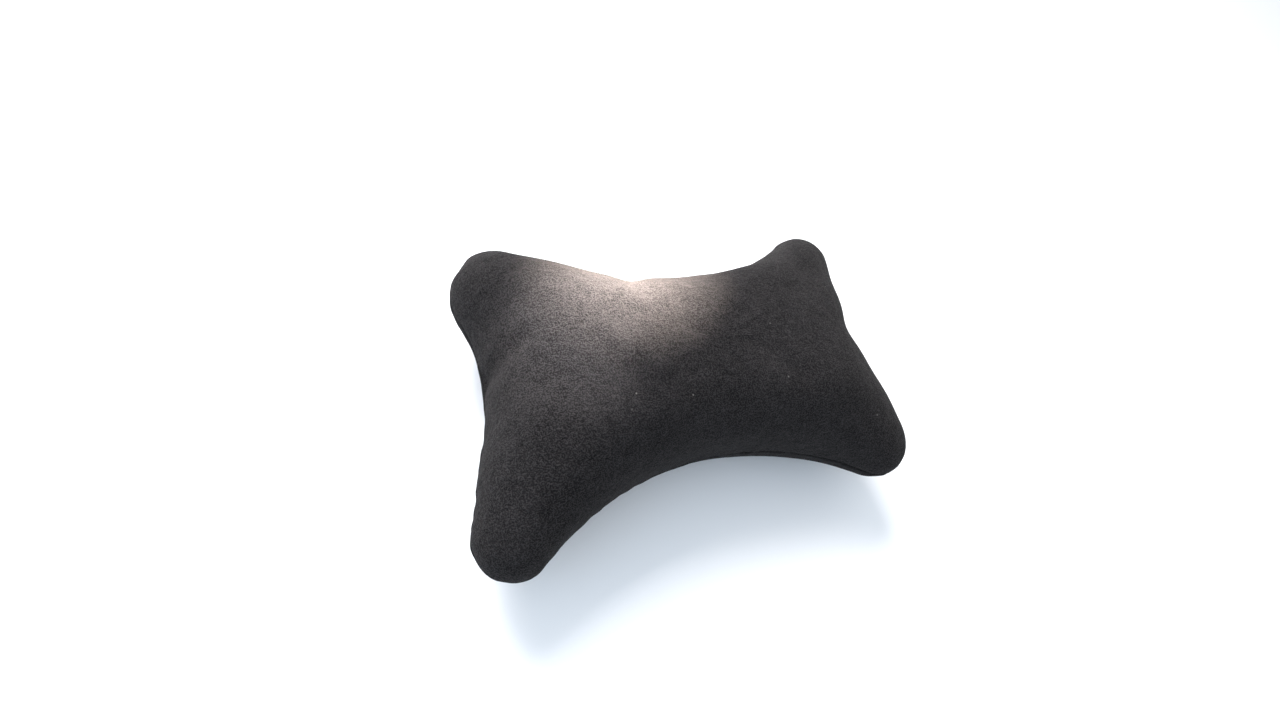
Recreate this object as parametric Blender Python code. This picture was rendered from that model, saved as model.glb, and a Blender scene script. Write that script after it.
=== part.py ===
"""Bone-shaped neck pillow for a car seat: two like panels sewn round their edge and stuffed.

The pillow lies on its back. +X runs along its length, +Y to its upper long side and +Z out of
its front. The origin is under the middle of its box, on the surface that the back rests on.
The panels and their filling are one sealed solid.
"""

import math

import bmesh
import bpy
import numpy as np

# Cut of the panels, as the stuffed pillow shows it from the front, in metres
PATTERN_LENGTH = 0.300  # across two lobes, along X
PATTERN_WIDTH = 0.2035  # across two lobes, along Y
LOBE_RADIUS = 0.025  # the round tip of each corner
UPPER_HOLLOW = 0.04125  # how deep the upper side sinks between two even lobes
LOWER_HOLLOW = 0.03675  # the same for the lower side
END_HOLLOW = 0.013  # the same for each short side

# How far the filling pushes each lobe outwards (+) or lets it draw in (-), along X and Y
UPPER_RIGHT_PUSH = (0.001, -0.0025)
UPPER_LEFT_PUSH = (-0.0085, -0.001)
LOWER_LEFT_PUSH = (0.0055, 0.007)
LOWER_RIGHT_PUSH = (0.007, -0.004)

# Where each side bulges out (+) or a tight stitch draws it in (-): distance from the side's
# middle, anticlockwise round the pillow, then how far, then the length over which it fades
UPPER_BULGES = ((0.0328, -0.0028, 0.008), (0.0853, 0.0035, 0.031))
LEFT_BULGES = ((-0.0937, -0.0031, 0.0115), (-0.0664, 0.0037, 0.019), (0.0414, 0.0027, 0.022))
LOWER_BULGES = ((-0.0842, -0.0027, 0.078),)
RIGHT_BULGES = ((-0.0444, 0.0023, 0.018), (0.0040, -0.0047, 0.014), (0.0575, -0.0026, 0.093))

# Stuffing
FRONT_CROWN = 0.056  # from the seam's plane to the highest point of the front
BACK_CROWN = 0.056  # the same for the back, before it is pressed flat
REST_PRESS = 0.009  # how much of the back is pressed flat where it rests
LENGTH_POWER = 3.5  # higher keeps the crown broad along the pillow, and drops it later
WIDTH_POWER = 2.8  # the same across the pillow
CROWN_ROOT = 0.5  # a half makes the section leave the seam upright, as an oval does
PRESS_BLEND = 0.0035  # height over which the back's curve turns into the flat
PRESS_SHARE = 0.55  # the flat ends where the free crown is this part of the press under its top

# Seam and its gathers
SEAM_DEPTH = 0.0016  # how far the stitches draw the edge in
SEAM_LIP = 0.0022  # height over the seam at which each panel reaches its full width
GATHER_DEPTH = 0.0008  # half the height of the ripples beside the seam
GATHER_PITCH = 0.023  # from one ripple to the next, along the seam
GATHER_REACH = 0.030  # how far from the seam the ripples fade out
GATHER_STRENGTH = (0.65, 0.35)  # mean strength of the ripples, and how much it varies
GATHER_SWELLS = 7  # times that the strength rises and falls round the pillow
GATHER_WANDERS = ((3, 1.3), (5, 0.8))  # waves round the pillow that shift the ripples, in radians

# Fineness of the faces
OUTLINE_STEPS = 180
FRONT_RINGS = 13
BACK_RINGS = 10

CLOTH_COLOUR = (0.034, 0.033, 0.036, 1.0)
CLOTH_ROUGHNESS = 0.95

# Signs of the lobes' corners, anticlockwise from the upper right
CORNERS = ((1, 1), (-1, 1), (-1, -1), (1, -1))
FRONT = 1
BACK = -1
HALVINGS = 40  # steps of the search for a contour


def clear_scene():
    """Removes what the scene holds before the pillow is made."""
    for obj in list(bpy.data.objects):
        bpy.data.objects.remove(obj, do_unlink=True)


def lobe_centres():
    """Centre of each corner's round tip, anticlockwise from the upper right."""
    reach = np.array([PATTERN_LENGTH / 2 - LOBE_RADIUS, PATTERN_WIDTH / 2 - LOBE_RADIUS])
    pushes = (UPPER_RIGHT_PUSH, UPPER_LEFT_PUSH, LOWER_LEFT_PUSH, LOWER_RIGHT_PUSH)
    return [np.array(sign) * (reach + push) for sign, push in zip(CORNERS, pushes)]


def hollow_radius(half_span, depth):
    """Radius of the hollow side that touches two even lobes and sinks to depth between them.

    The lobes' centres are half_span either side of the side's middle.
    """
    return (half_span**2 + depth**2) / (2 * depth) - LOBE_RADIUS


def hollow_centre(start, end, radius):
    """Centre of a hollow side that touches the lobes at start and end from outside them."""
    along = (end - start) / np.linalg.norm(end - start)
    outward = np.array([along[1], -along[0]])
    half_span = np.linalg.norm(end - start) / 2
    rise = math.sqrt((radius + LOBE_RADIUS) ** 2 - half_span**2)
    return start + along * half_span + outward * rise


def outline_arcs():
    """The outline as arcs (centre, radius, first angle, last angle), anticlockwise."""
    reach_x = PATTERN_LENGTH / 2 - LOBE_RADIUS
    reach_y = PATTERN_WIDTH / 2 - LOBE_RADIUS
    upper = hollow_radius(reach_x, UPPER_HOLLOW)
    lower = hollow_radius(reach_x, LOWER_HOLLOW)
    end = hollow_radius(reach_y, END_HOLLOW)
    lobes = lobe_centres()
    radii = (upper, end, lower, end)
    hollows = [hollow_centre(lobes[k], lobes[(k + 1) % 4], radii[k]) for k in range(4)]
    arcs = []
    for k in range(4):
        first = angle_to(lobes[k], hollows[k - 1])
        last = angle_to(lobes[k], hollows[k])
        arcs.append((lobes[k], LOBE_RADIUS, first, first + (last - first) % math.tau))
        first = angle_to(hollows[k], lobes[k])
        last = angle_to(hollows[k], lobes[(k + 1) % 4])
        arcs.append((hollows[k], radii[k], first, first - (first - last) % math.tau))
    return arcs


def angle_to(centre, point):
    """Direction from centre to point, in radians."""
    return math.atan2(point[1] - centre[1], point[0] - centre[0])


def panel_sides():
    """The outline cut at the tip of each lobe into four sides, anticlockwise from the top.

    Each side is half a lobe, a hollow and half the next lobe, as arcs.
    """
    arcs = outline_arcs()
    sides = []
    for k in range(4):
        centre, radius, first, last = arcs[2 * k]
        leaving = (centre, radius, (first + last) / 2, last)
        centre, radius, first, last = arcs[(2 * k + 2) % 8]
        reaching = (centre, radius, first, (first + last) / 2)
        sides.append((leaving, arcs[2 * k + 1], reaching))
    return sides


def side_lengths(side):
    """Length of each arc of a side."""
    return np.array([radius * abs(last - first) for _, radius, first, last in side])


def edge_bulge(at, lengths):
    """How far the edge stands out at distances round the outline, given its sides' lengths."""
    whole = sum(lengths)
    out = np.zeros(len(at))
    side_start = 0
    for bulges, length in zip((UPPER_BULGES, LEFT_BULGES, LOWER_BULGES, RIGHT_BULGES), lengths):
        for along, height, reach in bulges:
            away = at - (side_start + length / 2 + along)
            away = away - whole * np.round(away / whole)
            out += height * np.exp(-((away / reach) ** 2))
        side_start += length
    return out


def side_points(sides, which, shares):
    """Points at the given shares of a side's length, moved out by the edge's bulges."""
    side = sides[which]
    lengths = side_lengths(side)
    ends = np.cumsum(lengths)
    at = np.clip(shares, 0, 1) * ends[-1]
    arc = np.minimum(np.searchsorted(ends, at), len(side) - 1)
    centres = np.array([centre for centre, _, _, _ in side])[arc]
    radii = np.array([radius for _, radius, _, _ in side])[arc]
    first = np.array([angle for _, _, angle, _ in side])[arc]
    last = np.array([angle for _, _, _, angle in side])[arc]
    angles = last - (last - first) * (ends[arc] - at) / lengths[arc]
    all_lengths = [side_lengths(other).sum() for other in sides]
    out = edge_bulge(sum(all_lengths[:which]) + at, all_lengths)
    reach = radii + np.sign(last - first) * out
    return centres + reach[:, None] * np.column_stack([np.cos(angles), np.sin(angles)])


def square_border(sides, count):
    """Even steps along the outline, as places on the border of the square from -1 to 1.

    The square's corners stand for the tips of the lobes.
    """
    lengths = [side_lengths(side).sum() for side in sides]
    at = np.arange(count) * sum(lengths) / count
    turns = np.interp(at, np.concatenate([[0], np.cumsum(lengths)]), range(5))
    ahead = 1 - 2 * (turns % 1)
    side = turns.astype(int)
    along = np.select([side == 0, side == 1, side == 2], [ahead, -1, -ahead], 1)
    across = np.select([side == 0, side == 1, side == 2], [1, ahead, -1], -ahead)
    return np.column_stack([along, across])


def panel_points(sides, square):
    """Places in the square, carried to the panel by mixing its four sides (a Coons patch)."""
    right = (square[:, 0] + 1) / 2
    up = (square[:, 1] + 1) / 2
    top = side_points(sides, 0, 1 - right)
    left = side_points(sides, 1, 1 - up)
    bottom = side_points(sides, 2, right)
    end = side_points(sides, 3, up)
    upper_right, upper_left, lower_left, lower_right = (
        side_points(sides, which, np.zeros(1)) for which in range(4)
    )
    right = right[:, None]
    up = up[:, None]
    between_sides = (1 - up) * bottom + up * top + (1 - right) * left + right * end
    upper = right * upper_right + (1 - right) * upper_left
    lower = right * lower_right + (1 - right) * lower_left
    return between_sides - up * upper - (1 - up) * lower


def crown(square):
    """Height of the free crown at places in the square, as a part of its full height."""
    along = 1 - np.abs(square[:, 0]) ** LENGTH_POWER
    across = 1 - np.abs(square[:, 1]) ** WIDTH_POWER
    return (along * across) ** CROWN_ROOT


def contour(border, height):
    """Where lines from the square's border to its middle reach that part of the full height."""
    low = np.zeros(len(border))
    high = np.ones(len(border))
    for _ in range(HALVINGS):
        share = (low + high) / 2
        above = crown(border * share[:, None]) > height
        low = np.where(above, share, low)
        high = np.where(above, high, share)
    return border * share[:, None]


def gathers(outline, flat, panel):
    """Ripples beside the seam: they fade inwards, and are out of step on the two panels."""
    steps = np.linalg.norm(outline - np.roll(outline, 1, axis=0), axis=1)
    ripples = round(steps.sum() / GATHER_PITCH)
    turn = np.arange(len(outline)) / len(outline) * math.tau
    wander = sum(shift * np.sin(waves * turn + panel) for waves, shift in GATHER_WANDERS)
    mean, swell = GATHER_STRENGTH
    strength = mean + swell * np.sin(GATHER_SWELLS * turn + panel)
    from_seam = np.linalg.norm(outline - flat, axis=1)
    fade = np.exp(-((2 * from_seam / GATHER_REACH) ** 2))
    return GATHER_DEPTH * fade * strength * np.sin(ripples * turn + wander)


def pressed(depth):
    """Depth of the back below the seam's plane, turned softly into the flat that it rests on."""
    floor = BACK_CROWN - REST_PRESS
    over = depth - (floor - PRESS_BLEND)
    if over <= 0:
        return depth
    return floor - PRESS_BLEND * math.exp(-over / PRESS_BLEND)


def panel_rings(sides, border, panel):
    """Rings of points of one panel, each at one height, from the lip beside the seam inwards.

    The back's last ring lies on its flat.
    """
    full = FRONT_CROWN if panel == FRONT else BACK_CROWN
    top = 1.0 if panel == FRONT else 1 - PRESS_SHARE * REST_PRESS / full
    steps = FRONT_RINGS if panel == FRONT else BACK_RINGS
    outline = panel_points(sides, border)
    outward = outline / np.linalg.norm(outline, axis=1)[:, None]
    lowest = math.asin(SEAM_LIP / full)
    rings = []
    for step in range(steps):
        height = math.sin(lowest + (math.asin(top) - lowest) * step / steps)
        flat = panel_points(sides, contour(border, height))
        depth = full * height if panel == FRONT else pressed(full * height)
        ripple = gathers(outline, flat, panel)
        flat = flat + outward * (ripple * (1 - height))[:, None]
        rings.append(np.column_stack([flat, panel * (depth + ripple * height)]))
    if panel == BACK:
        flat = panel_points(sides, contour(border, top))
        rings.append(np.column_stack([flat, np.full(len(flat), REST_PRESS - BACK_CROWN)]))
    return rings


def seam_ring(outline):
    """The seam itself, which its stitches draw in from the full outline."""
    ahead = np.roll(outline, -1, axis=0) - np.roll(outline, 1, axis=0)
    ahead = ahead / np.linalg.norm(ahead, axis=1)[:, None]
    inward = np.column_stack([-ahead[:, 1], ahead[:, 0]])
    return np.column_stack([outline + inward * SEAM_DEPTH, np.zeros(len(outline))])


def add_ring(mesh, points):
    """Adds a closed ring of vertices to the mesh."""
    return [mesh.verts.new(point) for point in points]


def bridge(mesh, lower, upper):
    """Joins two rings with a band of faces."""
    for k in range(len(lower)):
        after = (k + 1) % len(lower)
        mesh.faces.new((lower[k], lower[after], upper[after], upper[k]))


def make_pillow():
    """The stuffed pillow: two crowned panels that meet in the seam, and the flat on its back."""
    sides = panel_sides()
    border = square_border(sides, OUTLINE_STEPS)
    outline = panel_points(sides, border)
    middle = (outline.min(axis=0) + outline.max(axis=0)) / 2
    lift = BACK_CROWN - REST_PRESS
    place = np.array([-middle[0], -middle[1], lift])
    mesh = bmesh.new()
    seam = add_ring(mesh, seam_ring(outline) + place)
    for panel in (FRONT, BACK):
        inside = seam
        for points in panel_rings(sides, border, panel):
            ring = add_ring(mesh, points + place)
            bridge(mesh, inside, ring)
            inside = ring
        if panel == FRONT:
            top = mesh.verts.new(place + np.array([0, 0, FRONT_CROWN]))
            for k in range(len(inside)):
                mesh.faces.new((inside[k], inside[(k + 1) % len(inside)], top))
        else:
            mesh.faces.new(inside)
    bmesh.ops.recalc_face_normals(mesh, faces=mesh.faces)
    data = bpy.data.meshes.new("neck_pillow")
    mesh.to_mesh(data)
    mesh.free()
    data.shade_smooth()
    pillow = bpy.data.objects.new("neck_pillow", data)
    bpy.context.scene.collection.objects.link(pillow)
    return pillow


def cloth_material():
    """Charcoal cloth with a short brushed pile."""
    material = bpy.data.materials.new("pillow_cloth")
    material.use_nodes = True
    shader = material.node_tree.nodes["Principled BSDF"]
    shader.inputs["Base Color"].default_value = CLOTH_COLOUR
    shader.inputs["Roughness"].default_value = CLOTH_ROUGHNESS
    shader.inputs["Metallic"].default_value = 0.0
    material.diffuse_color = CLOTH_COLOUR
    return material


def main():
    clear_scene()
    pillow = make_pillow()
    pillow.data.materials.append(cloth_material())


main()
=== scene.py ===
"""Bone-shaped neck pillow for a car seat: the look of its cloth, its filling and its seam.

The pillow is two like panels, sewn round their edge and stuffed. Both are surfaces over one
square: its corners stand for the tips of the four lobes. The panels are swelled by a cloth
simulation, then get their lumps, folds, seam and pile.
Lengths are in metres. +X runs along the pillow, +Y to its upper long side, +Z out of its front.
"""

import math

import bpy
import numpy as np
from bpy.props import FloatProperty, FloatVectorProperty, IntProperty, PointerProperty
from mathutils import Matrix, Quaternion, Vector


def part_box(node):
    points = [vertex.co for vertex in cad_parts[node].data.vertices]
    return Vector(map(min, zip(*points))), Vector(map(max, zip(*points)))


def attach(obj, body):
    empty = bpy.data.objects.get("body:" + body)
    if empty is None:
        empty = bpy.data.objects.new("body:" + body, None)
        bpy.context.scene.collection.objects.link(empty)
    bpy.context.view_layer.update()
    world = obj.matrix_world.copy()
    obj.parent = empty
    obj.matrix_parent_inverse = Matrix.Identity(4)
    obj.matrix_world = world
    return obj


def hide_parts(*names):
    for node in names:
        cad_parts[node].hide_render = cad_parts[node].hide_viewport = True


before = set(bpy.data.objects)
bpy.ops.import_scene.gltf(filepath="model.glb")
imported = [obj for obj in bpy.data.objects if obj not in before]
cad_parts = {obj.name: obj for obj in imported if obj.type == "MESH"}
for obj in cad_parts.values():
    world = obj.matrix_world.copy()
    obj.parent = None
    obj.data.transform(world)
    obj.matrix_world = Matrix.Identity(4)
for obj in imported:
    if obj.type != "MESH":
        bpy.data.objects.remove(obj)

bl_info = {
    "name": "Bone-shaped neck pillow",
    "version": (1, 0, 0),
    "blender": (4, 5, 0),
    "location": "3D Viewport > Sidebar > Neck Pillow",
    "description": "Sews, stuffs and lights a bone-shaped neck pillow of brushed cloth",
    "category": "Add Mesh",
}

SOLID = "neck_pillow"
PIECE = "stuffed_pillow"

SOLID_LOW, SOLID_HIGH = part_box(SOLID)
THICKNESS = SOLID_HIGH.z - SOLID_LOW.z

# How much of the back is pressed flat, and the height that swelling adds to each panel
PRESS = 0.009
SWELL = 0.0005

# Picture: its width in pixels, the camera's sensor width in millimetres, and its nearest view
PICTURE_WIDTH = 1280
SENSOR_WIDTH = 36
NEAREST = 0.01

# Floor: gap below the pillow, corners of its rim, roughness
FLOOR_GAP = 0.0003
FLOOR_CORNERS = 96
FLOOR_ROUGHNESS = 0.9

# A length too short to matter, which keeps a division from having nothing below the line
TINY = 1e-12

# Where each side bulges out (+) or a tight stitch draws it in (-): distance from the side's
# middle, anticlockwise round the pillow, then how far, then the length over which it fades
UPPER_BULGES = ((0.0328, -0.0028, 0.008), (0.0853, 0.0035, 0.031))
LEFT_BULGES = ((-0.0937, -0.0031, 0.0115), (-0.0664, 0.0037, 0.019), (0.0414, 0.0027, 0.022))
LOWER_BULGES = ((-0.0842, -0.0027, 0.078),)
RIGHT_BULGES = ((-0.0444, 0.0023, 0.018), (0.0040, -0.0047, 0.014), (0.0575, -0.0026, 0.093))

# Soft folds (+) and dents (-) of the front: where each starts and ends on the plan, its height
# and the width over which it fades to each side
FOLDS = (
    ((-0.069, 0.016), (-0.040, -0.016), 0.0021, 0.0070),
    ((-0.086, -0.026), (-0.066, -0.014), -0.0028, 0.014),
    ((-0.012, 0.028), (-0.014, 0.008), -0.0024, 0.007),
    ((-0.136, 0.008), (-0.112, 0.022), -0.0030, 0.007),
    ((-0.039, 0.060), (-0.036, 0.040), -0.0008, 0.006),
    ((-0.022, 0.055), (0.012, 0.053), 0.0013, 0.014),
    ((0.030, -0.008), (0.058, -0.030), -0.0016, 0.010),
    ((0.100, 0.050), (0.078, 0.030), -0.0022, 0.010),
)

# Cloth simulation: points round the seam, rings of each panel, stiffness, and steps a frame
LOOSE_COLUMNS = 200
LOOSE_RINGS = 24
BENDING_STIFFNESS = 8
CLOTH_QUALITY = 8

# Fine mesh: points round the seam, even rings of each panel, heights of the close rings beside
# the seam, and the least step from those to the even ones
FINE_COLUMNS = 640
FINE_RINGS = 56
CLOSE_HEIGHTS = (0.0004, 0.0008, 0.0012, 0.0017, 0.0022, 0.0028, 0.0035)
LEAST_STEP = 0.006
RING_POWER = 1.5
OUTLINE_STEPS = 720

# Soft lumps: number of waves, their lengths as parts of the lump size, and the start of chance
LUMP_WAVES = 12
LUMP_LENGTHS = (0.7, 1.6)
LUMP_SEED = 3

# Ripples beside the seam: parts of their number that are summed, weight of each, how much their
# height and their place vary, over how many ripples each varies, and the start of chance
GATHER_PARTS = (0.45, 0.7, 1.0, 1.6)
GATHER_WEIGHT = 0.5
GATHER_SWELL = 0.6
GATHER_SWELL_SPAN = 7
GATHER_SHIFT = 1.5
GATHER_SHIFT_SPAN = 9
GATHER_SEED = 5

# Map of the cloth: its name, the length that its whole width stands for, and each panel's middle
PLAN_MAP = "panels"
PLAN_SPAN = 0.45
FRONT_MIDDLE = (0.5, 0.75)
BACK_MIDDLE = (0.5, 0.25)

# Patterns of the pile: sizes over those of the tufts and naps, ranges of noise that are spread,
# weights in the colour, and depth and strength of the relief
CLUMP_RATIO = 3.2
SWEEP_RATIO = 5
TUFT_RANGE = (0.44, 0.64)
CLUMP_RANGE = (0.35, 0.65)
NAP_RANGE = (0.33, 0.67)
THREAD_RANGE = (0.35, 0.65)
TUFT_WEIGHT = 0.62
CLUMP_WEIGHT = 0.06
NAP_WEIGHT = 0.13
SWEEP_WEIGHT = 0.09
THREAD_WEIGHT = 0.10
NAP_RELIEF = (0.0014, 0.5)
CLUMP_RELIEF = (0.0006, 0.5)
TUFT_RELIEF = (0.0007, 0.9)
THREAD_WIDTH = 0.0011
THREAD_LENGTH = 0.010
CLOTH_ROUGHNESS = 0.95
CLOTH_SPECULAR = 0.1

# Lint: distance between its cells, size of a speck, the part of it that is fully pale, the range
# of chance over which a cell gets its speck, and how much the palest one covers
LINT_PITCH = 0.034
LINT_SIZE = 0.0007
LINT_CORE = 0.4
LINT_CHANCE = (0.55, 0.9)
LINT_COVER = 0.9

# Colour of the sky, and the direction in which it is strongest
SKY_COLOUR = (0.93, 0.96, 1.0)
SKY_SIDE = (-0.15, 0.99, 0.0)

# Square lights: name, place, target, size, watts, colour
SOFTBOXES = (
    ("key", (-0.25, 0.93, 0.82), (-0.03, 0.03, 0.08), 0.8, 32, (1.0, 0.95, 0.93)),
    ("fill", (-0.95, -0.45, 1.0), (0, 0, 0.05), 1.4, 6, (0.46, 0.72, 1.0)),
)

# Soft-edged spots: name, place, target, colour, cone in degrees, part of it that fades, stretch
# of the cone, turn of the stretch in degrees, watts. Each is a ball of light of one radius.
WARM = (1.0, 0.87, 0.76)
PALE = (1.0, 0.95, 0.92)
SPOT_RADIUS = 0.04
SPOTS = (
    ("pool", (-0.04, 0.34, 0.72), (-0.038, 0.061, 0.09), WARM, 5.8, 0.5, 1.26, 20, 1140),
    ("glow", (-0.15, 0.30, 0.72), (-0.084, 0.025, 0.095), PALE, 3.6, 1.0, 1.4, 34, 430),
)

# Signs of the lobes' corners, anticlockwise from the upper right
CORNERS = ((1, 1), (-1, 1), (-1, -1), (1, -1))

# Each panel, as the sign of its side of the seam
FRONT = 1
BACK = -1

# Steps in which the place of a contour is closed in on, each half the one before
HALVINGS = 40


class PillowCut(bpy.types.PropertyGroup):
    """Sizes of the panels, as the stuffed pillow shows them from the front."""

    length: FloatProperty(
        name="Length", description="Across two lobes, along X", default=0.300, unit="LENGTH"
    )
    width: FloatProperty(
        name="Width", description="Across two lobes, along Y", default=0.2035, unit="LENGTH"
    )
    lobe_radius: FloatProperty(
        name="Lobe radius", description="Round tip of each corner", default=0.025, unit="LENGTH"
    )
    upper_hollow: FloatProperty(
        name="Upper hollow",
        description="How deep the upper side sinks between two even lobes",
        default=0.04125,
        unit="LENGTH",
    )
    lower_hollow: FloatProperty(
        name="Lower hollow",
        description="How deep the lower side sinks between two even lobes",
        default=0.03675,
        unit="LENGTH",
    )
    end_hollow: FloatProperty(
        name="End hollow",
        description="How deep each short side sinks between two even lobes",
        default=0.013,
        unit="LENGTH",
    )
    upper_right_push: FloatVectorProperty(
        name="Upper right push",
        description="How far the filling pushes this lobe outwards, along X and Y",
        default=(0.001, -0.0025),
        size=2,
        unit="LENGTH",
    )
    upper_left_push: FloatVectorProperty(
        name="Upper left push",
        description="How far the filling pushes this lobe outwards, along X and Y",
        default=(-0.0085, -0.001),
        size=2,
        unit="LENGTH",
    )
    lower_left_push: FloatVectorProperty(
        name="Lower left push",
        description="How far the filling pushes this lobe outwards, along X and Y",
        default=(0.0055, 0.007),
        size=2,
        unit="LENGTH",
    )
    lower_right_push: FloatVectorProperty(
        name="Lower right push",
        description="How far the filling pushes this lobe outwards, along X and Y",
        default=(0.007, -0.004),
        size=2,
        unit="LENGTH",
    )


class PillowFilling(bpy.types.PropertyGroup):
    """How full the pillow is, and how its cloth swells over the filling."""

    crown: FloatProperty(
        name="Crown",
        description="From the seam's plane to the top of each panel, before the filling swells it",
        default=(THICKNESS + PRESS) / 2 - SWELL,
        unit="LENGTH",
    )
    press: FloatProperty(
        name="Press",
        description="How much of the back is pressed flat where it rests",
        default=PRESS - SWELL,
        unit="LENGTH",
    )
    press_blend: FloatProperty(
        name="Press blend",
        description="Height over which the back's curve turns into the flat",
        default=0.004,
        unit="LENGTH",
    )
    length_power: FloatProperty(
        name="Length power",
        description="Higher keeps the crown broad along the pillow",
        default=3.5,
    )
    width_power: FloatProperty(
        name="Width power",
        description="Higher keeps the crown broad across the pillow",
        default=2.8,
    )
    pressure: FloatProperty(
        name="Pressure", description="How hard the filling swells the cloth", default=3.0
    )
    ease: FloatProperty(
        name="Ease",
        description="How much more cloth each panel has than the form that it starts from",
        default=0.003,
    )
    swell_frames: IntProperty(
        name="Swell frames", description="Length of the cloth simulation", default=20
    )
    swell_limit: FloatProperty(
        name="Swell limit",
        description="The farthest that the simulation moves a point",
        default=0.005,
        unit="LENGTH",
    )
    lump_height: FloatProperty(
        name="Lump height",
        description="How far the filling's soft lumps stand out or sink in",
        default=0.0006,
        unit="LENGTH",
    )
    lump_size: FloatProperty(
        name="Lump size",
        description="From one soft lump to the next",
        default=0.055,
        unit="LENGTH",
    )


class PillowSeam(bpy.types.PropertyGroup):
    """The seam and the cloth beside it."""

    depth: FloatProperty(
        name="Depth",
        description="How far the stitches draw the edge in",
        default=0.0022,
        unit="LENGTH",
    )
    roll: FloatProperty(
        name="Roll",
        description="Radius of the cloth's turned edge on each side of the seam",
        default=0.0024,
        unit="LENGTH",
    )
    gather_height: FloatProperty(
        name="Gather height",
        description="Half the height of the ripples beside the seam",
        default=0.0003,
        unit="LENGTH",
    )
    gather_pitch: FloatProperty(
        name="Gather pitch",
        description="From one ripple to the next, along the seam",
        default=0.019,
        unit="LENGTH",
    )
    gather_reach: FloatProperty(
        name="Gather reach",
        description="How far from the seam the ripples fade out",
        default=0.020,
        unit="LENGTH",
    )


class PillowCloth(bpy.types.PropertyGroup):
    """Colour and pile of the cloth, with painted shade on the back panel and in the seam."""

    shade: FloatVectorProperty(
        name="Shade",
        description="Colour between the hairs of the pile",
        default=(0.0032, 0.0031, 0.0036),
        subtype="COLOR",
        size=3,
    )
    tips: FloatVectorProperty(
        name="Tips",
        description="Colour of the tips of the pile",
        default=(0.0368, 0.0347, 0.0363),
        subtype="COLOR",
        size=3,
    )
    lint: FloatVectorProperty(
        name="Lint",
        description="Colour of the few specks of lint",
        default=(0.13, 0.125, 0.12),
        subtype="COLOR",
        size=3,
    )
    sheen_tint: FloatVectorProperty(
        name="Sheen tint",
        description="Colour that the pile takes where it is seen along its surface",
        default=(0.92, 0.86, 0.82),
        subtype="COLOR",
        size=3,
    )
    sheen: FloatProperty(name="Sheen", description="Strength of the pile's sheen", default=0.03)
    sheen_roughness: FloatProperty(
        name="Sheen roughness", description="How far the sheen spreads", default=0.5
    )
    tuft: FloatProperty(
        name="Tuft", description="Size of the pile's finest tufts", default=0.0008, unit="LENGTH"
    )
    # Painted shade: this darkens the back panel's colour so that it stands for the shade under the
    # pillow
    back_painted_shade: FloatProperty(
        name="Back pile",
        description="How much of the tips' colour shows on the back, where the pile lies down",
        default=0.6,
        subtype="FACTOR",
    )
    # Painted shade: this darkens the colour along the seam so that it stands for the shade in its
    # crease
    seam_painted_shade: FloatProperty(
        name="Seam pile",
        description="How much of the tips' colour shows in the seam, which holds the pile down",
        default=0.35,
        subtype="FACTOR",
    )
    # Height over which the painted shade of the seam and of the back panel fades out
    painted_shade_reach: FloatProperty(
        name="Seam reach",
        description="Height over which the pile rises beside the seam",
        default=0.0024,
        unit="LENGTH",
    )
    nap: FloatProperty(
        name="Nap",
        description="Size of the patches in which the pile lies one way",
        default=0.008,
        unit="LENGTH",
    )


class PillowStudio(bpy.types.PropertyGroup):
    """Floor, light and camera."""

    floor_colour: FloatVectorProperty(
        name="Floor colour",
        description="Colour of the plain floor",
        default=(0.93, 0.945, 0.96),
        subtype="COLOR",
        size=3,
    )
    floor_radius: FloatProperty(
        name="Floor radius", description="Radius of the round floor", default=6.0, unit="LENGTH"
    )
    sky_strength: FloatProperty(
        name="Sky strength", description="Light from all round", default=0.90
    )
    sky_slope: FloatProperty(
        name="Sky slope",
        description="How much stronger the sky is where it comes from behind the pillow",
        default=0.38,
    )
    camera_place: FloatVectorProperty(
        name="Camera place",
        description="Where the camera stands",
        default=(-0.1891, -0.1215, 0.4084),
        subtype="TRANSLATION",
        size=3,
        precision=4,
    )
    camera_forward: FloatVectorProperty(
        name="Camera forward",
        description="Direction that the camera looks in",
        default=(0.3842, 0.3284, -0.8629),
        subtype="DIRECTION",
        size=3,
    )
    camera_up: FloatVectorProperty(
        name="Camera up",
        description="Direction that is up in the picture",
        default=(0.1180, 0.9095, 0.3986),
        subtype="DIRECTION",
        size=3,
    )
    camera_reach: FloatProperty(
        name="Camera reach",
        description="Focal length, in pixels of the picture's width",
        default=619.0,
    )


def angle_to(centre, point):
    """Direction from centre to point, in radians."""
    return math.atan2(point[1] - centre[1], point[0] - centre[0])


def hollow_radius(cut, half_span, depth):
    """Radius of the hollow side that touches two even lobes and sinks to depth between them.

    It is the half span squared plus the depth squared, over twice the depth, less the lobe radius.
    """
    return (half_span**2 + depth**2) / (2 * depth) - cut.lobe_radius


def hollow_centre(cut, start, end, radius):
    """Centre of a hollow side that touches the lobes at start and end from outside them."""
    along = (end - start) / np.linalg.norm(end - start)
    outward = np.array([along[1], -along[0]])
    half_span = np.linalg.norm(end - start) / 2
    rise = math.sqrt((radius + cut.lobe_radius) ** 2 - half_span**2)
    return start + along * half_span + outward * rise


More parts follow.
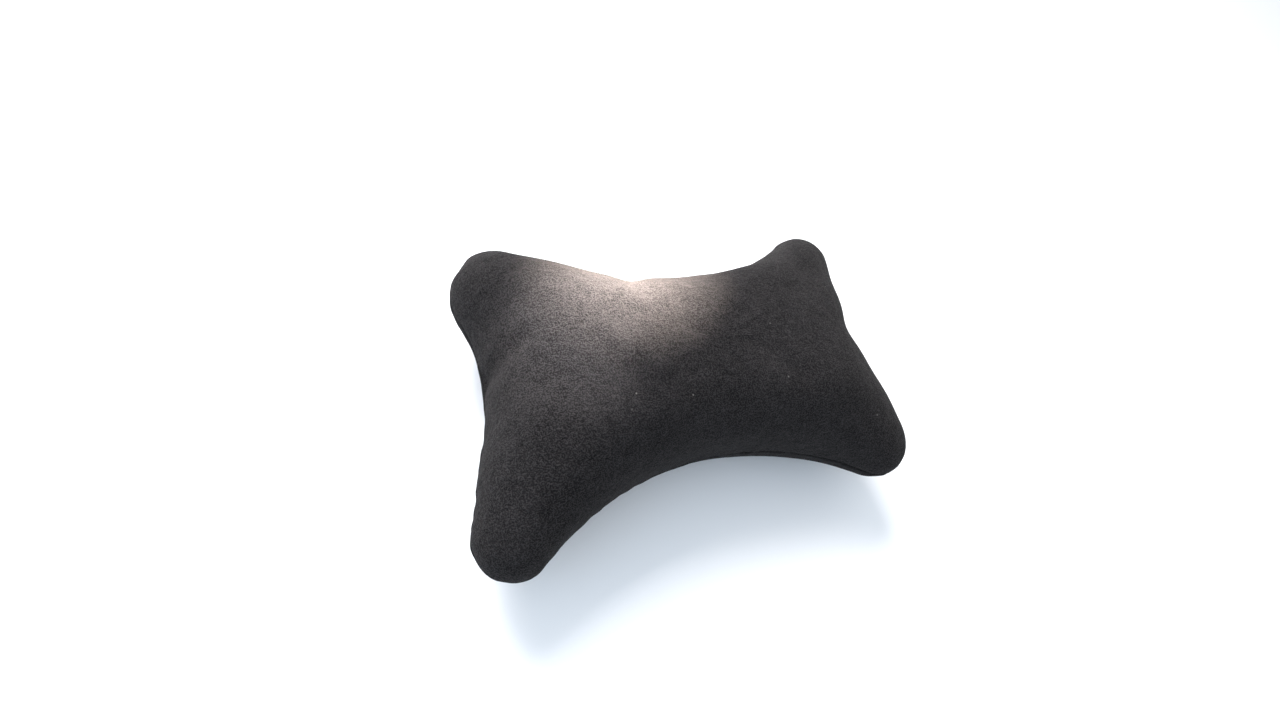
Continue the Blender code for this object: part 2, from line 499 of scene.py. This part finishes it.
def outline_arcs(cut):
    """The outline as arcs (centre, radius, first angle, last angle), anticlockwise."""
    reach = np.array([cut.length / 2 - cut.lobe_radius, cut.width / 2 - cut.lobe_radius])
    pushes = (
        cut.upper_right_push,
        cut.upper_left_push,
        cut.lower_left_push,
        cut.lower_right_push,
    )
    lobes = [np.array(sign) * (reach + np.array(push)) for sign, push in zip(CORNERS, pushes)]
    end = hollow_radius(cut, reach[1], cut.end_hollow)
    upper = hollow_radius(cut, reach[0], cut.upper_hollow)
    lower = hollow_radius(cut, reach[0], cut.lower_hollow)
    radii = (upper, end, lower, end)
    hollows = [hollow_centre(cut, lobes[k], lobes[(k + 1) % 4], radii[k]) for k in range(4)]
    arcs = []
    for k in range(4):
        first = angle_to(lobes[k], hollows[k - 1])
        last = angle_to(lobes[k], hollows[k])
        arcs.append((lobes[k], cut.lobe_radius, first, first + (last - first) % math.tau))
        first = angle_to(hollows[k], lobes[k])
        last = angle_to(hollows[k], lobes[(k + 1) % 4])
        arcs.append((hollows[k], radii[k], first, first - (first - last) % math.tau))
    return arcs


def panel_sides(cut):
    """The outline cut at the tip of each lobe into four sides, anticlockwise from the top."""
    arcs = outline_arcs(cut)
    sides = []
    for k in range(4):
        centre, radius, first, last = arcs[2 * k]
        leaving = (centre, radius, (first + last) / 2, last)
        centre, radius, first, last = arcs[(2 * k + 2) % 8]
        reaching = (centre, radius, first, (first + last) / 2)
        sides.append((leaving, arcs[2 * k + 1], reaching))
    return sides


def side_lengths(side):
    """Length of each arc of a side."""
    return np.array([radius * abs(last - first) for _, radius, first, last in side])


def edge_bulge(at, lengths):
    """How far the edge stands out at distances round the outline: the sum of the bulges' bells."""
    whole = sum(lengths)
    out = np.zeros(at.shape)
    side_start = 0
    for bulges, length in zip((UPPER_BULGES, LEFT_BULGES, LOWER_BULGES, RIGHT_BULGES), lengths):
        for along, height, reach in bulges:
            away = at - (side_start + length / 2 + along)
            away = away - whole * np.round(away / whole)
            out += height * np.exp(-((away / reach) ** 2))
        side_start += length
    return out


def side_points(sides, which, shares):
    """Points at the given shares of a side's length, each on its arc and moved by the bulges."""
    side = sides[which]
    lengths = side_lengths(side)
    ends = np.cumsum(lengths)
    at = np.clip(shares, 0, 1) * ends[-1]
    arc = np.minimum(np.searchsorted(ends, at), len(side) - 1)
    centres = np.array([centre for centre, _, _, _ in side])[arc]
    radii = np.array([radius for _, radius, _, _ in side])[arc]
    first = np.array([angle for _, _, angle, _ in side])[arc]
    last = np.array([angle for _, _, _, angle in side])[arc]
    angles = last - (last - first) * (ends[arc] - at) / lengths[arc]
    all_lengths = [side_lengths(other).sum() for other in sides]
    out = edge_bulge(sum(all_lengths[:which]) + at, all_lengths)
    reach = radii + np.sign(last - first) * out
    turned = np.stack([np.cos(angles), np.sin(angles)], axis=-1)
    return centres + reach[..., None] * turned


def square_border(sides, columns):
    """Even steps along the outline, as places on the border of the square from -1 to 1."""
    lengths = [side_lengths(side).sum() for side in sides]
    at = np.arange(columns) * sum(lengths) / columns
    turns = np.interp(at, np.concatenate([[0], np.cumsum(lengths)]), range(5))
    ahead = 1 - 2 * (turns % 1)
    side = turns.astype(int)
    along = np.select([side == 0, side == 1, side == 2], [ahead, -1, -ahead], 1)
    across = np.select([side == 0, side == 1, side == 2], [1, ahead, -1], -ahead)
    return np.stack([along, across], axis=-1)


def panel_plan(sides, square):
    """Places in the square, carried to the panel's plan by mixing its four sides.

    This is a Coons patch: the mix of top and bottom, plus the mix of left and right, less the
    mix of the four corners.
    """
    right = (square[..., 0] + 1) / 2
    up = (square[..., 1] + 1) / 2
    top = side_points(sides, 0, 1 - right)
    left = side_points(sides, 1, 1 - up)
    bottom = side_points(sides, 2, right)
    end = side_points(sides, 3, up)
    tips = [side_points(sides, which, np.zeros(1))[0] for which in range(4)]
    right = right[..., None]
    up = up[..., None]
    between_sides = (1 - up) * bottom + up * top + (1 - right) * left + right * end
    upper = right * tips[0] + (1 - right) * tips[1]
    lower = right * tips[3] + (1 - right) * tips[2]
    return between_sides - up * upper - (1 - up) * lower


def crown_share(filling, square):
    """Height of the crown at places in the square, as a part of its full height.

    It is the root of the product of one less each coordinate's size to its power.
    """
    along = 1 - np.abs(square[..., 0]) ** filling.length_power
    across = 1 - np.abs(square[..., 1]) ** filling.width_power
    return np.sqrt(np.maximum(along * across, 0))


def contours(filling, border, heights):
    """Places in the square where lines from its border to its middle reach each height."""
    low = np.zeros((len(heights), len(border)))
    high = np.ones_like(low)
    for _ in range(HALVINGS):
        share = (low + high) / 2
        above = crown_share(filling, border * share[..., None]) > heights[:, None]
        low = np.where(above, share, low)
        high = np.where(above, high, share)
    return border * share[..., None]


def climb(rows):
    """Part of the full height at each row, from 0 at the seam to 1 at the top.

    It is the sine of a quarter turn times one less the rest of the way to the ring power, so a
    panel rises fast at the seam and levels out at the top.
    """
    return np.sin(math.pi / 2 * (1 - (1 - rows) ** RING_POWER))


def fine_rows(crown):
    """Rows of the fine mesh: the reverse of climb at the close heights, then even rows."""
    quarter = np.arcsin(np.array(CLOSE_HEIGHTS) / crown) / (math.pi / 2)
    near = 1 - (1 - quarter) ** (1 / RING_POWER)
    even = np.linspace(0, 1, FINE_RINGS)
    return np.concatenate([[0], near, even[even > near[-1] + LEAST_STEP]])


def free_panel(cut, filling, columns, rows, panel):
    """One panel before it is swelled: its contour at each row, lifted to the crown's height."""
    sides = panel_sides(cut)
    border = square_border(sides, columns)
    heights = climb(rows)
    plan = panel_plan(sides, contours(filling, border, heights))
    height = np.broadcast_to(panel * filling.crown * heights[:, None], plan.shape[:2])
    return np.concatenate([plan, height[..., None]], axis=-1)


def place_of(cut, filling):
    """Move that puts the outline's middle over the solid's middle, and the flat at its base."""
    sides = panel_sides(cut)
    outline = panel_plan(sides, square_border(sides, OUTLINE_STEPS))
    middle = (outline.min(axis=0) + outline.max(axis=0)) / 2
    solid = (np.array(SOLID_LOW) + np.array(SOLID_HIGH)) / 2
    return np.append(solid[:2] - middle, SOLID_LOW.z + filling.crown - filling.press)


def bag_points(front, back):
    """Points of the sewn bag: the seam, then each panel's inner rings and its middle."""
    parts = [front[0]]
    for panel in (front, back):
        parts.append(panel[1:-1].reshape(-1, 3))
        parts.append(panel[-1].mean(axis=0, keepdims=True))
    return np.concatenate(parts)


def bag_faces(columns, rings):
    """Faces of the sewn bag: bands between rings, and a fan at the middle of each panel.

    rings counts the rows of a panel without its middle, the seam's row among them.
    """
    ahead = np.roll(np.arange(columns), -1)
    here = np.arange(columns)
    size = columns * (rings - 1) + 1
    quads = []
    fans = []
    for panel in (FRONT, BACK):
        start = columns if panel == FRONT else columns + size
        first = np.concatenate([[0], start + columns * np.arange(rings - 1)])
        low = first[:-1, None]
        high = first[1:, None]
        band = np.stack([low + here, low + ahead, high + ahead, high + here], axis=-1)
        middle = np.full(columns, start + size - 1)
        fan = np.stack([first[-1] + here, first[-1] + ahead, middle], axis=-1)
        quads.append(band.reshape(-1, 4)[:, ::panel])
        fans.append(fan[:, ::panel])
    return [*np.concatenate(quads).tolist(), *np.concatenate(fans).tolist()]


def panels_of(points, columns, rings):
    """The reverse of bag_points: each panel as a grid, with the seam first and the middle last."""
    size = columns * (rings - 1)
    panels = []
    for start in (columns, columns + size + 1):
        inner = points[start : start + size].reshape(rings - 1, columns, 3)
        middle = np.broadcast_to(points[start + size], (1, columns, 3))
        panels.append(np.concatenate([points[None, :columns], inner, middle]))
    return panels


def swelled(points, faces, seam_count, filling):
    """Points after Blender's cloth has swelled the bag, with its seam held where it is.

    The cloth is larger than the form by the ease, which lets the pressure swell it.
    """
    mesh = bpy.data.meshes.new("swelling")
    mesh.from_pydata(points.tolist(), [], faces)
    bag = bpy.data.objects.new("swelling", mesh)
    bpy.context.scene.collection.objects.link(bag)
    held = bag.vertex_groups.new(name="seam")
    held.add(list(range(seam_count)), 1.0, "REPLACE")
    cloth = bag.modifiers.new("cloth", "CLOTH")
    cloth.point_cache.frame_start = 1
    cloth.point_cache.frame_end = filling.swell_frames
    settings = cloth.settings
    settings.effector_weights.gravity = 0
    settings.use_pressure = True
    settings.uniform_pressure_force = filling.pressure
    settings.shrink_min = -filling.ease
    settings.vertex_group_mass = held.name
    settings.bending_stiffness = BENDING_STIFFNESS
    settings.quality = CLOTH_QUALITY
    for step in range(1, filling.swell_frames + 1):
        bpy.context.scene.frame_set(step)
    shape = bag.evaluated_get(bpy.context.evaluated_depsgraph_get()).data
    after = np.empty(len(points) * 3)
    shape.vertices.foreach_get("co", after)
    bpy.data.objects.remove(bag)
    bpy.data.meshes.remove(mesh)
    bpy.context.scene.frame_set(1)
    return after.reshape(-1, 3)


def limited(travel, limit):
    """Moves, drawn in so that none is longer than the limit: each length becomes the limit times
    the hyperbolic tangent of its share of the limit."""
    length = np.linalg.norm(travel, axis=-1, keepdims=True) + TINY
    return travel / length * limit * np.tanh(length / limit)


def blended_rows(values, at):
    """Values between a grid's rows, on the smooth curve through four neighbours (Catmull-Rom)."""
    last = len(values) - 1
    at = np.clip(at * last, 0, last)
    low = np.minimum(at.astype(int), last - 1)
    share = (at - low)[:, None, None]
    before = values[np.maximum(low - 1, 0)]
    start = values[low]
    end = values[low + 1]
    after = values[np.minimum(low + 2, last)]
    rise = end - before
    fall = after - start
    bend = 2 * (start - end) + (rise + fall) / 2
    turn = 3 * (end - start) - rise - fall / 2
    return start + share * (rise / 2 + share * (turn + share * bend))


def blended_columns(values, columns):
    """The same round the pillow, where the last column is followed by the first."""
    spare = 3
    count = values.shape[1]
    ring = np.concatenate([values[:, -spare:], values, values[:, :spare]], axis=1)
    at = (np.arange(columns) / columns * count + spare) / (count + 2 * spare - 1)
    return blended_rows(ring.swapaxes(0, 1), at).swapaxes(0, 1)


def grid_normals(points, panel):
    """Outward directions on a grid: the cross product of its two neighbouring differences."""
    around = np.roll(points, -1, axis=1) - np.roll(points, 1, axis=1)
    inward = np.gradient(points, axis=0)
    normal = np.cross(around, inward) * panel
    length = np.linalg.norm(normal, axis=-1, keepdims=True)
    normal = np.where(length > TINY, normal / np.maximum(length, TINY), [0, 0, panel])
    normal[-1] = [0, 0, panel]
    return normal


def from_seam(points):
    """Distance from the seam along each column, as the sum of its steps."""
    steps = np.linalg.norm(np.diff(points, axis=0), axis=-1)
    return np.concatenate([np.zeros((1, points.shape[1])), np.cumsum(steps, axis=0)])


def lumps(points, size, seed):
    """Soft lumps between about -1 and 1: the sum of plane waves in directions by chance."""
    chance = np.random.default_rng(seed)
    total = np.zeros(points.shape[:-1])
    for _ in range(LUMP_WAVES):
        direction = chance.normal(size=3)
        direction *= math.tau / (size * chance.uniform(*LUMP_LENGTHS)) / np.linalg.norm(direction)
        total += np.sin(points @ direction + chance.uniform(0, math.tau))
    return total * math.sqrt(2 / LUMP_WAVES)


def folds(points):
    """Soft folds and dents: a bell of the distance from each fold's line, times its height."""
    total = np.zeros(points.shape[:-1])
    for start, end, height, width in FOLDS:
        along = np.array(end) - start
        share = np.clip((points[..., :2] - start) @ along / (along @ along), 0, 1)
        away = np.linalg.norm(points[..., :2] - start - share[..., None] * along, axis=-1)
        total += height * np.exp(-((away / width) ** 2))
    return total


def gathers(distance, columns, length, seam, seed):
    """Ripples beside the seam: sines of the way round, of uneven pitch and height.

    They fade with the square of the distance from the seam over the reach.
    """
    chance = np.random.default_rng(seed)
    turn = np.arange(columns) / columns * math.tau
    count = length / seam.gather_pitch
    ripple = np.zeros(columns)
    swells = round(count / GATHER_SWELL_SPAN) * turn
    shifts = round(count / GATHER_SHIFT_SPAN) * turn
    for part in GATHER_PARTS:
        swell = 1 + GATHER_SWELL * np.sin(swells + chance.uniform(0, math.tau))
        shift = GATHER_SHIFT * np.sin(shifts + chance.uniform(0, math.tau))
        ripple += GATHER_WEIGHT * swell * np.sin(round(count * part) * turn + shift)
    fade = np.exp(-((2 * distance / seam.gather_reach) ** 2))
    return seam.gather_height * ripple * fade


def seam_roll(distance, seam):
    """How far the turned edge is drawn in: a quarter circle that meets the seam at its depth."""
    share = np.clip(1 - distance / seam.roll, 0, 1)
    return seam.depth * (1 - np.sqrt(1 - share**2))


def pressed(height, floor, blend):
    """Heights kept from sinking below the floor, with a short parabola between the two."""
    over = floor - height
    soft = height + (over + blend) ** 2 / (4 * blend)
    return np.where(over < -blend, height, np.where(over > blend, floor, soft))


def finished_panel(cut, filling, seam, travel, rows, columns, panel):
    """One panel in full detail: free form, swelling, lumps, gathers, seam and flat."""
    points = free_panel(cut, filling, columns, rows, panel)
    if travel is not None:
        points = points + blended_columns(blended_rows(travel, rows), columns)
    distance = from_seam(points)
    length = np.linalg.norm(points[0] - np.roll(points[0], 1, axis=0), axis=-1).sum()
    normal = grid_normals(points, panel)
    away = 1 - np.exp(-distance / seam.gather_reach)
    out = filling.lump_height * away * lumps(points, filling.lump_size, LUMP_SEED)
    out += gathers(distance, columns, length, seam, GATHER_SEED + panel)
    if panel == FRONT:
        out += folds(points)
    along = np.roll(points[0], -1, axis=0) - np.roll(points[0], 1, axis=0)
    along /= np.linalg.norm(along, axis=-1, keepdims=True)
    inward = np.stack([-along[:, 1], along[:, 0], np.zeros(columns)], axis=-1)
    rise = np.clip(distance / seam.roll, 0, 1)[..., None]
    points = points + normal * out[..., None] * rise
    points = points + inward * seam_roll(distance, seam)[..., None]
    if panel == BACK:
        floor = filling.press - filling.crown
        points[..., 2] = pressed(points[..., 2], floor, filling.press_blend)
    return points


def plan_map(mesh, points):
    """UV map: the cloth's plan over the map's span, front panel above and back panel below."""
    corners = np.empty(len(mesh.loops), dtype=int)
    mesh.loops.foreach_get("vertex_index", corners)
    sizes = np.empty(len(mesh.polygons), dtype=int)
    mesh.polygons.foreach_get("loop_total", sizes)
    middles = np.empty(len(mesh.polygons) * 3)
    mesh.polygons.foreach_get("center", middles)
    seam_height = points[0, 2]
    back = np.repeat(middles.reshape(-1, 3)[:, 2] < seam_height, sizes)
    plan = points[corners, :2] / PLAN_SPAN
    plan += np.where(back[:, None], BACK_MIDDLE, FRONT_MIDDLE)
    layer = mesh.uv_layers.new(name=PLAN_MAP)
    layer.uv.foreach_set("vector", plan.astype(np.float32).ravel())


class NECKPILLOW_OT_sew_and_stuff(bpy.types.Operator):
    """Sews the two panels, swells them over their filling and dresses them in brushed cloth"""

    bl_idname = "neckpillow.sew_and_stuff"
    bl_label = "Sew and stuff the pillow"

    def execute(self, context):
        cut = context.scene.neckpillow_cut
        filling = context.scene.neckpillow_filling
        seam = context.scene.neckpillow_seam
        travels = [None, None]
        rows = np.linspace(0, 1, LOOSE_RINGS + 1)
        loose = [
            free_panel(cut, filling, LOOSE_COLUMNS, rows, panel) for panel in (FRONT, BACK)
        ]
        before = bag_points(*loose)
        faces = bag_faces(LOOSE_COLUMNS, LOOSE_RINGS)
        after = swelled(before, faces, LOOSE_COLUMNS, filling)
        moves = limited(after - before, filling.swell_limit)
        travels = panels_of(moves, LOOSE_COLUMNS, LOOSE_RINGS)
        rows = fine_rows(filling.crown)
        panels = [
            finished_panel(cut, filling, seam, travel, rows, FINE_COLUMNS, panel)
            for travel, panel in zip(travels, (FRONT, BACK))
        ]
        place = place_of(cut, filling)
        points = bag_points(*panels) + place
        mesh = bpy.data.meshes.new(PIECE)
        mesh.from_pydata(points.tolist(), [], bag_faces(FINE_COLUMNS, len(rows) - 1))
        plan_map(mesh, points)
        mesh.shade_smooth()
        mesh.materials.append(brushed_cloth(context.scene.neckpillow_cloth, place[2]))
        pillow = bpy.data.objects.new(PIECE, mesh)
        context.scene.collection.objects.link(pillow)
        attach(pillow, "root")
        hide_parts(SOLID)
        return {"FINISHED"}


def node(tree, kind, **values):
    """Adds a shader node and sets its properties and its unlinked inputs."""
    made = tree.nodes.new(kind)
    for name, value in values.items():
        if hasattr(made, name):
            setattr(made, name, value)
        else:
            made.inputs[name.replace("_", " ").title()].default_value = value
    return made


def noise(tree, place, size, detail, roughness=0.55):
    """Noise whose main features are about this size."""
    texture = node(tree, "ShaderNodeTexNoise", Scale=1 / size, Detail=detail, Roughness=roughness)
    tree.links.new(place, texture.inputs["Vector"])
    return texture.outputs["Fac"]


def spread(tree, value, low, high, to_low=0.0, to_high=1.0):
    """Value carried smoothly from one range to another, and kept inside it."""
    ranged = tree.nodes.new("ShaderNodeMapRange")
    ranged.interpolation_type = "SMOOTHSTEP"
    tree.links.new(value, ranged.inputs["Value"])
    ends = {"From Min": low, "From Max": high, "To Min": to_low, "To Max": to_high}
    for name, number in ends.items():
        ranged.inputs[name].default_value = number
    return ranged.outputs["Result"]


def combined(tree, operation, *values):
    """Result of a Math node on outputs and numbers."""
    made = node(tree, "ShaderNodeMath", operation=operation)
    for socket, value in zip(made.inputs, values):
        if isinstance(value, bpy.types.NodeSocket):
            tree.links.new(value, socket)
        else:
            socket.default_value = value
    return made.outputs["Value"]


def plan_place(tree):
    """Place on the map of the cloth."""
    plan = tree.nodes.new("ShaderNodeUVMap")
    plan.uv_map = PLAN_MAP
    return plan.outputs["UV"]


def blend_colours(tree, share, first, second):
    """Mix of two colours or colour outputs by a share."""
    mixed = tree.nodes.new("ShaderNodeMix")
    mixed.data_type = "RGBA"
    tree.links.new(share, mixed.inputs["Factor"])
    for name, colour in (("A", first), ("B", second)):
        socket = next(s for s in mixed.inputs if s.name == name and s.type == "RGBA")
        if isinstance(colour, bpy.types.NodeSocket):
            tree.links.new(colour, socket)
        else:
            socket.default_value = (*colour, 1)
    return next(s for s in mixed.outputs if s.type == "RGBA")


def weighed(tree, *patterns):
    """Sum of patterns, each times its weight."""
    total = 0
    for pattern, weight in patterns:
        total = combined(tree, "MULTIPLY_ADD", pattern, weight, total)
    return total


def woven(tree):
    """Faint threads of the backing: noise drawn out along the cloth, and across it."""
    drawn = []
    for along, across in ((THREAD_LENGTH, THREAD_WIDTH), (THREAD_WIDTH, THREAD_LENGTH)):
        stretched = tree.nodes.new("ShaderNodeMapping")
        stretched.inputs["Scale"].default_value = (PLAN_SPAN / along, PLAN_SPAN / across, 1)
        tree.links.new(plan_place(tree), stretched.inputs["Vector"])
        threads = noise(tree, stretched.outputs["Vector"], 1, 1)
        drawn.append((spread(tree, threads, *THREAD_RANGE), 1 / 2))
    return weighed(tree, *drawn)


def lint(tree):
    """Few pale specks: the middles of some of a Voronoi pattern's cells, in the cloth's plan."""
    cells = tree.nodes.new("ShaderNodeTexVoronoi")
    cells.voronoi_dimensions = "2D"
    cells.inputs["Scale"].default_value = PLAN_SPAN / LINT_PITCH
    tree.links.new(plan_place(tree), cells.inputs["Vector"])
    size = LINT_SIZE / LINT_PITCH
    near = spread(tree, cells.outputs["Distance"], LINT_CORE * size, size, 1, 0)
    split = tree.nodes.new("ShaderNodeSeparateColor")
    tree.links.new(cells.outputs["Color"], split.inputs["Color"])
    chosen = spread(tree, split.outputs["Red"], *LINT_CHANCE, 0, LINT_COVER)
    return combined(tree, "MULTIPLY", near, chosen)


def raised(tree, height, depth, strength, under=None):
    """Bump of a height pattern, over another bump if one is given."""
    bump = tree.nodes.new("ShaderNodeBump")
    bump.inputs["Distance"].default_value = depth
    bump.inputs["Strength"].default_value = strength
    tree.links.new(height, bump.inputs["Height"])
    if under is not None:
        tree.links.new(under, bump.inputs["Normal"])
    return bump.outputs["Normal"]


def painted_shade_share(tree, place, cloth, seam_height):
    """Painted shade, as the share of the tips' colour that shows: less below the seam's height, on
    the back panel, and least beside the seam, in its crease.
    """
    split = tree.nodes.new("ShaderNodeSeparateXYZ")
    tree.links.new(place, split.inputs["Vector"])
    over = combined(tree, "SUBTRACT", split.outputs["Z"], seam_height)
    away = combined(tree, "ABSOLUTE", over)
    # Painted shade on the back panel, standing for the shade under the pillow
    back = spread(tree, over, -cloth.painted_shade_reach, 0, cloth.back_painted_shade, 1)
    # Painted shade along the seam, standing for the shade in its crease
    seam = spread(tree, away, 0, cloth.painted_shade_reach, cloth.seam_painted_shade, 1)
    return combined(tree, "MULTIPLY", back, seam)


def brushed_cloth(cloth, seam_height):
    """Charcoal cloth with a short brushed pile that lies in soft patches."""
    material = bpy.data.materials.new("brushed_charcoal_cloth")
    material.use_nodes = True
    tree = material.node_tree
    shader = tree.nodes["Principled BSDF"]
    place = tree.nodes.new("ShaderNodeTexCoord").outputs["Object"]
    tufts = spread(tree, noise(tree, place, cloth.tuft, 1, 0.5), *TUFT_RANGE)
    clumps = spread(tree, noise(tree, place, cloth.tuft * CLUMP_RATIO, 2), *CLUMP_RANGE)
    naps = spread(tree, noise(tree, place, cloth.nap, 3), *NAP_RANGE)
    sweeps = spread(tree, noise(tree, place, cloth.nap * SWEEP_RATIO, 3), *NAP_RANGE)
    layers = weighed(
        tree,
        (tufts, TUFT_WEIGHT),
        (clumps, CLUMP_WEIGHT),
        (naps, NAP_WEIGHT),
        (sweeps, SWEEP_WEIGHT),
        (woven(tree), THREAD_WEIGHT),
    )
    # The pile's grain times the painted shade of the back panel and of the seam's crease
    pile = combined(tree, "MULTIPLY", layers, painted_shade_share(tree, place, cloth, seam_height))
    brushed = blend_colours(tree, pile, cloth.shade, cloth.tips)
    colour = blend_colours(tree, lint(tree), brushed, cloth.lint)
    tree.links.new(colour, shader.inputs["Base Color"])
    shader.inputs["Roughness"].default_value = CLOTH_ROUGHNESS
    shader.inputs["Specular IOR Level"].default_value = CLOTH_SPECULAR
    shader.inputs["Sheen Weight"].default_value = cloth.sheen
    shader.inputs["Sheen Roughness"].default_value = cloth.sheen_roughness
    shader.inputs["Sheen Tint"].default_value = (*cloth.sheen_tint, 1)
    normal = raised(tree, naps, *NAP_RELIEF)
    normal = raised(tree, clumps, *CLUMP_RELIEF, normal)
    normal = raised(tree, tufts, *TUFT_RELIEF, normal)
    tree.links.new(normal, shader.inputs["Normal"])
    return material


def plain_material(name, colour, roughness):
    """Plain matt material of one colour."""
    material = bpy.data.materials.new(name)
    material.use_nodes = True
    shader = material.node_tree.nodes["Principled BSDF"]
    shader.inputs["Base Color"].default_value = (*colour, 1)
    shader.inputs["Roughness"].default_value = roughness
    return material


def add_floor(studio):
    """Round flat floor just under the pillow."""
    turn = np.linspace(0, math.tau, FLOOR_CORNERS, endpoint=False)
    rim = np.stack([np.cos(turn), np.sin(turn), 0 * turn], axis=-1) * studio.floor_radius
    rim[:, 2] = SOLID_LOW.z - FLOOR_GAP
    mesh = bpy.data.meshes.new("floor")
    mesh.from_pydata(rim.tolist(), [], [list(range(FLOOR_CORNERS))])
    mesh.materials.append(plain_material("plain_floor", studio.floor_colour, FLOOR_ROUGHNESS))
    floor = bpy.data.objects.new("floor", mesh)
    bpy.context.scene.collection.objects.link(floor)


def add_softbox(name, place, target, size, power, colour):
    """Square area light that faces a target."""
    lamp = bpy.data.lights.new(name, "AREA")
    lamp.shape = "SQUARE"
    lamp.size = size
    lamp.energy = power
    lamp.color = colour
    light = bpy.data.objects.new(name, lamp)
    light.location = place
    light.rotation_euler = (Vector(target) - Vector(place)).to_track_quat("-Z", "Y").to_euler()
    bpy.context.scene.collection.objects.link(light)


def add_spot(name, place, target, colour, cone, fading, stretch, turn, power):
    """Soft-edged spot on a part of the crown, stretched, and turned by that many degrees."""
    lamp = bpy.data.lights.new(name, "SPOT")
    lamp.spot_size = math.radians(cone)
    lamp.spot_blend = fading
    lamp.shadow_soft_size = SPOT_RADIUS
    lamp.energy = power
    lamp.color = colour
    light = bpy.data.objects.new(name, lamp)
    light.location = place
    aim = (Vector(target) - Vector(place)).to_track_quat("-Z", "Y")
    light.rotation_euler = (aim @ Quaternion((0, 0, 1), math.radians(turn))).to_euler()
    light.scale = (stretch, 1, 1)
    bpy.context.scene.collection.objects.link(light)


def add_sky(studio):
    """Pale light from all round: its strength grows evenly towards the back left."""
    world = bpy.data.worlds.new("studio_sky")
    world.use_nodes = True
    tree = world.node_tree
    sky = tree.nodes["Background"]
    sky.inputs["Color"].default_value = (*SKY_COLOUR, 1)
    direction = tree.nodes.new("ShaderNodeTexCoord").outputs["Generated"]
    towards = node(tree, "ShaderNodeVectorMath", operation="DOT_PRODUCT")
    tree.links.new(direction, towards.inputs[0])
    towards.inputs[1].default_value = SKY_SIDE
    rise = studio.sky_strength * studio.sky_slope
    level = towards.outputs["Value"]
    strength = combined(tree, "MULTIPLY_ADD", level, rise, studio.sky_strength)
    tree.links.new(strength, sky.inputs["Strength"])
    bpy.context.scene.world = world


def add_camera(studio):
    """Camera at the picture's place, with its aim and its upward direction."""
    forward = Vector(studio.camera_forward).normalized()
    right = forward.cross(Vector(studio.camera_up)).normalized()
    up = right.cross(forward)
    lens = bpy.data.cameras.new("camera")
    lens.sensor_width = SENSOR_WIDTH
    lens.lens = studio.camera_reach / PICTURE_WIDTH * lens.sensor_width
    lens.clip_start = NEAREST
    camera = bpy.data.objects.new("camera", lens)
    turned = Matrix((right, up, -forward)).transposed()
    camera.matrix_world = Matrix.Translation(Vector(studio.camera_place)) @ turned.to_4x4()
    bpy.context.scene.collection.objects.link(camera)
    bpy.context.scene.camera = camera


class NECKPILLOW_OT_studio(bpy.types.Operator):
    """Sets up the plain floor, the soft lights and the camera"""

    bl_idname = "neckpillow.studio"
    bl_label = "Set up the studio"

    def execute(self, context):
        studio = context.scene.neckpillow_studio
        add_floor(studio)
        add_sky(studio)
        for softbox in SOFTBOXES:
            add_softbox(*softbox)
        for spot in SPOTS:
            add_spot(*spot)
        add_camera(studio)
        context.scene.view_settings.view_transform = "Standard"
        return {"FINISHED"}


class NECKPILLOW_PT_sidebar(bpy.types.Panel):
    """Lists the pillow's operators and sizes"""

    bl_idname = "NECKPILLOW_PT_sidebar"
    bl_label = "Neck pillow"
    bl_space_type = "VIEW_3D"
    bl_region_type = "UI"
    bl_category = "Neck Pillow"

    def draw(self, context):
        layout = self.layout
        for operator in OPERATORS:
            layout.operator(operator.bl_idname)
        for name, group in GROUPS.items():
            box = layout.box()
            box.label(text=group.__doc__.split(",")[0].rstrip("."))
            for prop in group.__annotations__:
                box.prop(getattr(context.scene, name), prop)


OPERATORS = (NECKPILLOW_OT_sew_and_stuff, NECKPILLOW_OT_studio)
GROUPS = {
    "neckpillow_cut": PillowCut,
    "neckpillow_filling": PillowFilling,
    "neckpillow_seam": PillowSeam,
    "neckpillow_cloth": PillowCloth,
    "neckpillow_studio": PillowStudio,
}


def register():
    """Adds the properties, the operators and the panel to Blender."""
    for name, group in GROUPS.items():
        bpy.utils.register_class(group)
        setattr(bpy.types.Scene, name, PointerProperty(type=group))
    for made in (*OPERATORS, NECKPILLOW_PT_sidebar):
        bpy.utils.register_class(made)


def unregister():
    """Takes them out again, in the reverse order."""
    for made in (NECKPILLOW_PT_sidebar, *reversed(OPERATORS)):
        bpy.utils.unregister_class(made)
    for name, group in reversed(GROUPS.items()):
        delattr(bpy.types.Scene, name)
        bpy.utils.unregister_class(group)


def main():
    """Makes the pillow and its studio."""
    register()
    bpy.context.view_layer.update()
    bpy.ops.neckpillow.sew_and_stuff()
    bpy.ops.neckpillow.studio()


if __name__ == "__main__":
    main()
